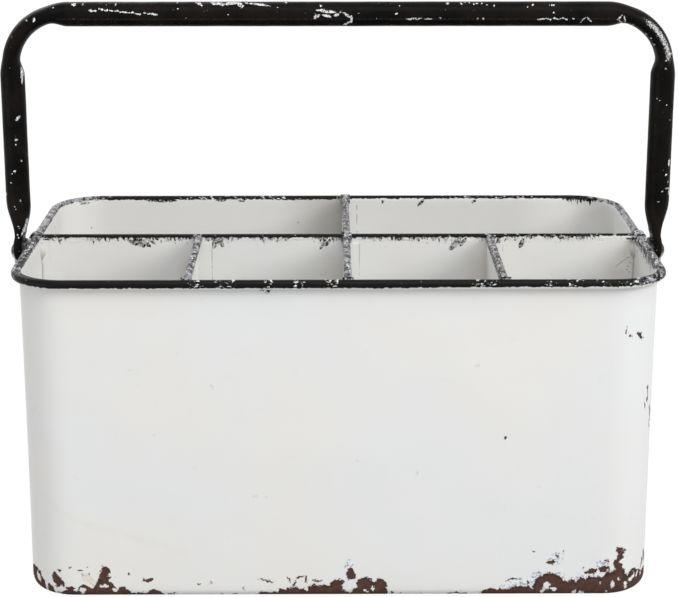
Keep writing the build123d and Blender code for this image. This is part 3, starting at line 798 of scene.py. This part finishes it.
def tubTree():
    tree, size = newTree("bentTubWall", tubShape)
    half = times(size["Sheet"], 0.5)
    corner = minus(size["Corner Radius"], half)
    sides = {"Width": minus(size["Length"], size["Sheet"]),
             "Height": minus(size["Depth"], size["Sheet"])}
    plan = shape(tree, "CurvePrimitiveQuadrilateral", sides)
    path = roundedPath(plan, corner, size["Spacing"])
    walked = addNode(tree, "GeometryNodeSplineParameter").outputs["Length"]
    path, walked = captured(path, walked)
    path = shape(tree, "SetCurveNormal", {"Curve": path}, mode="Z_UP")

    # profile: x outward, y downward, from the flange's inner edge to the end of the roll
    footRadius = minus(size["Foot Bend"], half)
    rollRadius = minus(size["Roll Radius"], half)
    rollHeight = minus(size["Height"], size["Roll Radius"])
    footX = times(footRadius, -1)
    footY = times(size["Foot Bend"], -1)
    sheetY = times(half, -1)
    rollY = times(rollHeight, -1)
    edgeX = minus(footX, size["Foot Flange"])

    def straight(start, end, count):
        line = shape(tree, "CurvePrimitiveLine", {"Start": start, "End": end})
        return shape(tree, "ResampleCurve", {"Curve": line, "Count": count})

    def arc(radius, start, sweep, centre, count):
        made = shape(tree, "CurveArc", {"Resolution": count, "Radius": radius,
                      "Start Angle": start, "Sweep Angle": sweep})
        return shape(tree, "Transform", {"Geometry": made, "Translation": centre})

    flange = straight(join(edgeX, sheetY), join(footX, sheetY), curveSteps["flange"])
    bend = arc(footRadius, math.radians(90), math.radians(-90), join(footX, footY),
               curveSteps["bend"])
    rise = straight(join(0.0, footY), join(0.0, rollY), curveSteps["rise"])
    roll = arc(rollRadius, math.radians(180), size["Roll Turn"], join(rollRadius, rollY),
               curveSteps["roll"])
    profile = addNode(tree, "GeometryNodeJoinGeometry")
    for piece in (roll, rise, bend, flange):
        tree.links.new(piece, profile.inputs[0])
    profileX = split(placeOf(tree))[0]
    section, outwards = captured(profile.outputs[0], profileX)
    wall = shape(tree, "MergeByDistance",
                  {"Geometry": swept(path, section), "Distance": curveSteps["weld"] * mm})

    # distance along the wall from the middle of the front
    arcLength = times(corner, math.pi / 2)
    twoCorners = times(size["Corner Radius"], 2)
    longRun, sideRun = (minus(size[label], twoCorners) for label in ("Length", "Depth"))
    around = times(timesPlus(arcLength, 2, plus(longRun, sideRun)), 2)
    toFront = timesPlus(arcLength, 3, timesPlus(longRun, 1.5, sideRun))
    along = minus(walked, toFront)
    behind = isUnder(along, times(around, -0.5))
    wall = named(wall, "along", timesPlus(behind, around, along))
    wall = named(wall, "roll", outwards)

    # soft dents in the wall and an uneven rim, always inward
    place = placeOf(tree)
    height = split(place)[2]
    dents, dentsEnd, rim = (rampUp(height, start * mm, end * mm)
                            for start, end in dentHeights.values())
    sink = times(noise(place, "bentWall"), times(dents, dentsEnd), size["Dent"])
    sink = timesPlus(times(noise(place, "unevenRim"), rim), size["Wobble"], sink)
    inward = vectorCalc("NORMALIZE", vectorCalc("MULTIPLY", place, (-1, -1, 0)))
    endTree(tree, moved(wall, Offset=scaled(inward, sink)), size["Material"])
    return tree


tubPaint = tubMaterial()
tubWall = runTree("enamelledTubWall", tubTree(), dict(tubShape, Material=tubPaint),
                  wallThickness=tubShape["Sheet"])
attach(tubWall, "tub")
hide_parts("tub_wall")
print("tub wall:", len(tubWall.data.polygons), "faces")


# Handle: a tube bent into a hoop, ends pressed flat and rounded
handleShape = {
    "Leg X": 175.9 * mm, "Bar Height": 296.8 * mm, "Pivot Height": pivotHeight * mm,
    "Tube Radius": 6.7 * mm, "Bend Radius": 28 * mm, "Flat X": 176.25 * mm,
    "Flat Half Thickness": 2.0 * mm, "Flat Half Width": 8.83 * mm,
    "Outer Taper Top": 195.5 * mm, "Outer Taper End": 168.5 * mm,
    "Inner Taper Top": 192 * mm, "Inner Taper End": 171.5 * mm,
    "Hammer": 0.25 * mm, "Squash": 0.28, "Lean": 0.9 * mm,
    "Lean Start": 171.5 * mm, "Lean Full": 176 * mm, "Lean Ease": 178 * mm, "Lean End": 192 * mm,
    "Hammer Start": 172 * mm, "Hammer Full": 200 * mm, "Spacing": 1.4 * mm,
}


# The drawn-in bends: where they set in across and down, in mm, and how they are shaped
drawnBend = {"across": (-3, 9), "down": (-5, 5), "wider": 0.4, "outward": 0.3}
# points round the tube, the share of its radius that becomes the flat end's face, and how far
# down the tip's rounding goes
tubeEnds = {"points": 40, "face": 0.45, "tip": 0.9995}


def handleTree():
    tree, size = newTree("bentHandleTube", handleShape)
    tip = minus(size["Pivot Height"], size["Flat Half Width"])
    left, right, bar = times(size["Leg X"], -1), size["Leg X"], size["Bar Height"]
    line = shape(tree, "CurvePrimitiveLine")
    four = shape(tree, "ResampleCurve", {"Curve": line, "Count": 4})
    corner = addNode(tree, "GeometryNodeIndexSwitch", data_type="VECTOR")
    for number in range(2):
        corner.index_switch_items.new()
    feed(tree, corner.inputs["Index"], shape(tree, "InputIndex"))
    for number, (x, z) in enumerate(((left, tip), (left, bar), (right, bar), (right, tip))):
        feed(tree, corner.inputs[number + 1], join(x, 0, z))
    hoop = moved(four, Position=corner.outputs[0])
    path = roundedPath(hoop, size["Bend Radius"], size["Spacing"])
    path, centre = captured(path, placeOf(tree), "VECTOR")
    path = shape(tree, "SetCurveNormal", {"Curve": path}, mode="MINIMUM_TWIST")
    inputs = {"Resolution": tubeEnds["points"], "Radius": size["Tube Radius"]}
    tube = swept(path, shape(tree, "CurvePrimitiveCircle", inputs), caps=True)

    # the bends are drawn in: the tube is narrower there, mostly at its inner side
    middle = split(centre)
    alongX, alongZ = middle["X"], middle["Z"]
    bendX = minus(size["Leg X"], size["Bend Radius"])
    bendZ = minus(size["Bar Height"], size["Bend Radius"])
    inX, inZ = (rampUp(minus(reached, start), *(value * mm for value in drawnBend[way]))
                for reached, start, way in ((absolute(alongX), bendX, "across"),
                                            (alongZ, bendZ, "down")))
    bending = times(inX, inZ, size["Squash"])
    pivot = join(times(calc("SIGN", alongX), bendX), 0, bendZ)
    away = vectorCalc("NORMALIZE", vectorCalc("SUBTRACT", centre, pivot))
    offset = vectorCalc("SUBTRACT", placeOf(tree), centre)
    keep = minus(1, bending)
    factor = join(keep, timesPlus(bending, drawnBend["wider"], 1), keep)
    narrowed = vectorCalc("ADD", centre, vectorCalc("MULTIPLY", offset, factor))
    outerSide = scaled(away, times(bending, size["Tube Radius"], drawnBend["outward"]))
    tube = moved(tube, Position=vectorCalc("ADD", narrowed, outerSide))

    # press the ends flat, from the round tube down to the tip
    x, y, z = split(placeOf(tree))
    side = calc("SIGN", x)
    legX = times(side, size["Leg X"])
    outer = rampUp(z, size["Outer Taper Top"], size["Outer Taper End"])
    inner = rampUp(z, size["Inner Taper Top"], size["Inner Taper End"])
    outX = minus(x, legX)
    pressed = blend(isOver(times(outX, side), 0), inner, outer)
    faceX = calc("DIVIDE", outX, times(size["Tube Radius"], tubeEnds["face"]))
    faceX = times(smaller(larger(faceX, -1), 1), size["Flat Half Thickness"])
    newX = blend(pressed, outX, faceX)
    wider = blend(outer, 1.0, calc("DIVIDE", size["Flat Half Width"], size["Tube Radius"]))
    drop = calc("DIVIDE", minus(size["Pivot Height"], z), size["Flat Half Width"])
    drop = smaller(larger(drop, 0), tubeEnds["tip"])
    tipWidth = calc("SQRT", minus(1, times(drop, drop)))
    leaning = times(rampUp(z, size["Lean Start"], size["Lean Full"]),
                    rampUp(z, size["Lean End"], size["Lean Ease"]))
    leaning = times(leaning, side, size["Lean"])
    baseX = minus(blend(outer, legX, times(side, size["Flat X"])), leaning)
    tube = moved(tube, Position=join(plus(newX, baseX), times(y, wider, tipWidth), z))

    # hammer marks, always inward
    place = placeOf(tree)
    depth = times(noise(place, "bentHandle"), size["Hammer"], -1)
    high = rampUp(split(place)[2], size["Hammer Start"], size["Hammer Full"])
    dent = scaled(shape(tree, "InputNormal"), times(depth, high))
    endTree(tree, moved(tube, Offset=dent), size["Material"])
    return tree


handleTube = runTree("bentHandle", handleTree(), dict(handleShape, Material=handleMaterial()))
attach(handleTube, "handle")
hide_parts("handle")
print("handle:", len(handleTube.data.polygons), "faces")


# Dividers, tray and fittings keep their solids and get their finish
longHem = {
    "ragged": [(-98, 22), (-130, 10), (-64, 10), (-36, 12), (-8, 10), (38, 30), (82, 6), (98, 14),
               (128, 16), (-155, 6)],
    "flaps": [
        (-114, 170.8, 3.4, 1, -32), (-109.8, 170.2, 3.8, 1.3, -35), (-106, 170, 3.2, 1.1, -38),
        (-102.6, 171, 2.2, 0.7, -30), (-68.2, 170, 1.7, 3.2, -25), (-64.8, 170.6, 1.3, 2.6, 35),
        (-8.2, 169.8, 0.9, 3.6, -28), (-5.6, 170.6, 0.8, 2.6, -30), (64.8, 169.6, 1.5, 4.8, -40),
        (69.2, 170.8, 1.1, 3, -38), (101.5, 169.8, 1.3, 2.8, -20), (88.2, 169, 1.3, 3.8, -12),
    ],
    # scratches of the front face, seen in the right-hand compartment; the brown of its corners is
    # painted warm shade, in the list below
    "scratches": [
        (156.8, 158.6, 4.4, 0.22, 38), (160.9, 161.6, 1.2, 0.3, 20), (161.2, 156.6, 0.5, 0.4),
        (162.2, 158.6, 0.4, 0.4), (160.6, 154.6, 0.4, 0.5), (162, 153.4, 0.6, 0.3),
    ],
    # painted warm shade at the right-hand end of each front compartment, where the dividers shade
    # the front face
    "grime": [
        (156, 152, 10, 9), (163, 164, 10, 10), (78, 154, 12, 15), (-3, 152, 10, 17),
        (-83, 154, 10, 16),
    ],
}
finish = {
    "long_divider": sheetMaterial("longDividerPaint", wear=0.06, hemLow=172.4, hem=longHem,
                                  flecked=0.03),
    "rim_wire": steelMaterial("rimWireSteel", wear=0.3),
    "base_tray": sheetMaterial("trayEnamel", wear=0.0, hemLow=200.0),
}
shortHem = sheetMaterial("shortDividerPaint", wear=0.22, hemLow=169.6,
                         lines=(-69.7, 11.9, 91.3), flecked=0.13)
for name in ("left_front_divider", "middle_front_divider", "right_front_divider", "rear_divider"):
    finish[name] = shortHem
fittings = steelMaterial("wornFittingsWithSheenAndShade", wear=0.1, insideAt=165.0)
for side in ("left", "right"):
    for piece in ("rivet", "spacer", "washer", "backing_washer"):
        finish[side + "_" + piece] = fittings
for name, material in finish.items():
    mesh = parts[name].data
    mesh.materials.clear()
    mesh.materials.append(material)
print("finishes on", len(finish), "solids")


# Lap of the wall's ends at the back, and the sheet soldered in round the rivet tails, in mm
tubTrim = {
    "lapWidth": 8.0, "lapLow": 4.8, "lapHigh": 165.6, "lapFace": 91.0, "lapSheet": 0.62,
    "lapSunk": 0.1, "lapAlong": 487,
    "notchInner": 159.3, "notchOuter": 164.2, "notchLow": 158.6, "notchHigh": 172.0,
    "webFace": -2.0, "webSheet": 0.58, "edge": 0.12,
}


def trimBox(name, low, high, material):
    x0, y0, z0 = (value * mm for value in low)
    x1, y1, z1 = (value * mm for value in high)
    mesh = bpy.data.meshes.new(name)
    corners = [(x, y, z) for z in (z0, z1) for x, y in ((x0, y0), (x1, y0), (x1, y1), (x0, y1))]
    faces = [(0, 1, 2, 3), (7, 6, 5, 4), (4, 5, 1, 0), (5, 6, 2, 1), (6, 7, 3, 2), (7, 4, 0, 3)]
    mesh.from_pydata(corners, [], faces)
    mesh.materials.append(material)
    made = addObject(name, mesh)
    edge = made.modifiers.new("edge", "BEVEL")
    edge.width = tubTrim["edge"] * mm
    edge.segments = 2
    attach(made, "tub")
    return made


halfLap = tubTrim["lapWidth"] / 2
lap = trimBox("lapSeam", (-halfLap, tubTrim["lapFace"] - tubTrim["lapSunk"], tubTrim["lapLow"]),
              (halfLap, tubTrim["lapFace"] + tubTrim["lapSheet"], tubTrim["lapHigh"]), tubPaint)
backAlong = lap.data.attributes.new("along", "FLOAT", "POINT")
backAlong.data.foreach_set("value", [tubTrim["lapAlong"] * mm + corner.co.x
                                     for corner in lap.data.vertices])
for side, label in ((-1, "left"), (1, "right")):
    ends = sorted((side * tubTrim["notchInner"], side * tubTrim["notchOuter"]))
    trimBox(label + "NotchPatch", (ends[0], tubTrim["webFace"], tubTrim["notchLow"]),
            (ends[1], tubTrim["webFace"] + tubTrim["webSheet"], tubTrim["notchHigh"]),
            finish["long_divider"])
print("seam and patches made")


# Solder: small beads where the hems meet each other and the rim
solderShape = {"Beads": 7.0, "Radius": 0.95 * mm, "Spread": 2.3 * mm, "Flatness": 0.65,
               "Seed": 4.0}
# least and most of each bead's shift, in spreads, and of its scale
solderChance = {"shift": ((-1, -1, -0.5), (1, 1, 0.35)),
                "scale": ((0.5, 0.5, 0.6), (1.4, 1.4, 1.2))}
solderPlaces = [
    (-163.2, -1.6, 173.6), (163.2, -1.6, 173.6), (-77, -2.6, 174.0), (4.6, -2.6, 174.0),
    (84, -2.6, 174.0), (4.8, 2.6, 174.0), (-77, -90.0, 174.0), (4.6, -90.0, 174.0),
    (84, -90.0, 174.0), (4.8, 90.0, 174.0),
]


def solderTree():
    tree, size = newTree("solderBeads", solderShape)
    copies = shape(tree, "DuplicateElements",
                    {"Geometry": size["Geometry"], "Amount": size["Beads"]}, domain="POINT")

    def chance(low, high, step):
        made = addNode(tree, "FunctionNodeRandomValue", data_type="FLOAT_VECTOR")
        for socket, value in zip((socket for socket in made.inputs if socket.enabled), (low, high)):
            feed(tree, socket, value)
        feed(tree, made.inputs["Seed"], plus(size["Seed"], step))
        return next(socket for socket in made.outputs if socket.enabled)

    shift = scaled(chance(*solderChance["shift"], 0), size["Spread"])
    drop = shape(tree, "MeshIcoSphere", {"Radius": size["Radius"], "Subdivisions": 3})
    grown = vectorCalc("MULTIPLY", join(1.0, 1.0, size["Flatness"]),
                       chance(*solderChance["scale"], 1))
    placed = shape(tree, "InstanceOnPoints",
                    {"Points": moved(copies, Offset=shift), "Instance": drop, "Scale": grown})
    beads = shape(tree, "RealizeInstances", {0: placed})
    lumpy = minus(noise(placeOf(tree), "solder"), 0.5)
    push = scaled(shape(tree, "InputNormal"), times(lumpy, size["Radius"]))
    endTree(tree, moved(beads, Offset=push), size["Material"])
    return tree


solder = runTree("solderBeads", solderTree(), dict(solderShape, Material=shortHem), bend=180,
                 points=[tuple(value * mm for value in place) for place in solderPlaces])
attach(solder, "tub")
print("solder beads:", len(solder.data.polygons), "faces")


# Stage: pale floor, soft light, white behind
stage = {"floorSize": 6.0, "floorTone": 0.35, "floorRough": 0.9, "floorGlow": 0.88,
         "glowLevel": 1.1, "worldLevel": 0.5}
# lamps: place, what they point at, size, power and colour
lamps = {
    "keyLamp": ((1.5, -1.15, 1.15), (0, 0, 0.12), (1.0, 1.0), 23.5, (1.0, 0.995, 0.98)),
    "topLamp": ((0.1, -0.9, 1.7), (0, 0, 0.15), (1.2, 1.0), 12, (1.0, 1.0, 1.0)),
    "rearFill": ((-0.9, 1.5, 1.3), (0, 0, 0.1), (1.6, 1.2), 15, (1.0, 1.0, 1.0)),
    "lowFill": ((-1.5, -1.1, 0.11), (0, 0, 0.09), (1.2, 0.18), 6, (1.0, 0.98, 0.95)),
}


def seenRays(tree, *kinds):
    rays = addNode(tree, "ShaderNodeLightPath")
    seen = rays.outputs["Is Camera Ray"]
    for kind in kinds:
        seen = larger(seen, rays.outputs["Is " + kind + " Ray"])
    return seen


def buildStage():
    half = stage["floorSize"] / 2
    mesh = bpy.data.meshes.new("floor")
    corners = [(-half, -half, 0), (half, -half, 0), (half, half, 0), (-half, half, 0)]
    mesh.from_pydata(corners, [], [(0, 1, 2, 3)])
    floor = addObject("floor", mesh)
    made, tree = startMaterial("paleFloor")
    shader = tree.nodes["Principled BSDF"]
    shader.inputs["Base Color"].default_value = (*[stage["floorTone"]] * 3, 1)
    shader.inputs["Roughness"].default_value = stage["floorRough"]
    inputs = {"Color": (1, 1, 1, 1), "Strength": stage["glowLevel"]}
    glow = output(tree, "ShaderNodeEmission", inputs)
    share = times(seenRays(tree, "Glossy"), stage["floorGlow"])
    both = output(tree, "ShaderNodeMixShader", {0: share, 1: shader.outputs[0], 2: glow})
    tree.links.new(both, tree.nodes["Material Output"].inputs["Surface"])
    mesh.materials.append(made)

    world = bpy.data.worlds.new("studio")
    bpy.context.scene.world = world
    world.use_nodes = True
    air = world.node_tree
    back = air.nodes["Background"]
    back.inputs["Color"].default_value = (1, 1, 1, 1)
    feed(air, back.inputs["Strength"],
         blend(seenRays(air, "Glossy", "Transmission"), stage["worldLevel"], 1.0))


buildStage()
for name, (place, target, size, power, color) in lamps.items():
    light = bpy.data.lights.new(name, "AREA")
    light.shape = "RECTANGLE"
    light.size, light.size_y = size
    light.energy = power
    light.color = color
    lamp = addObject(name, light)
    lamp.location = place
    lamp.rotation_euler = (Vector(target) - Vector(place)).to_track_quat("-Z", "Y").to_euler()
    lamp.visible_camera = False

# Camera, fitted to the outlines in the photograph
view = {
    "place": (-0.00509, -0.94892, 0.41912), "pitch": 14.563, "turn": -0.356,
    "focal": 1769.7, "width": 679, "height": 597, "axisRow": 238.0, "sensor": 36,
}
lens = bpy.data.cameras.new("camera")
lens.sensor_width = view["sensor"]
lens.lens = view["focal"] * view["sensor"] / view["width"]
lens.shift_y = (view["axisRow"] - view["height"] / 2) / view["width"]
camera = addObject("camera", lens)
camera.location = view["place"]
camera.rotation_euler = (math.radians(90 - view["pitch"]), 0, math.radians(view["turn"]))
bpy.context.scene.camera = camera
bpy.context.scene.view_settings.view_transform = "Standard"
print("camera and lamps set")
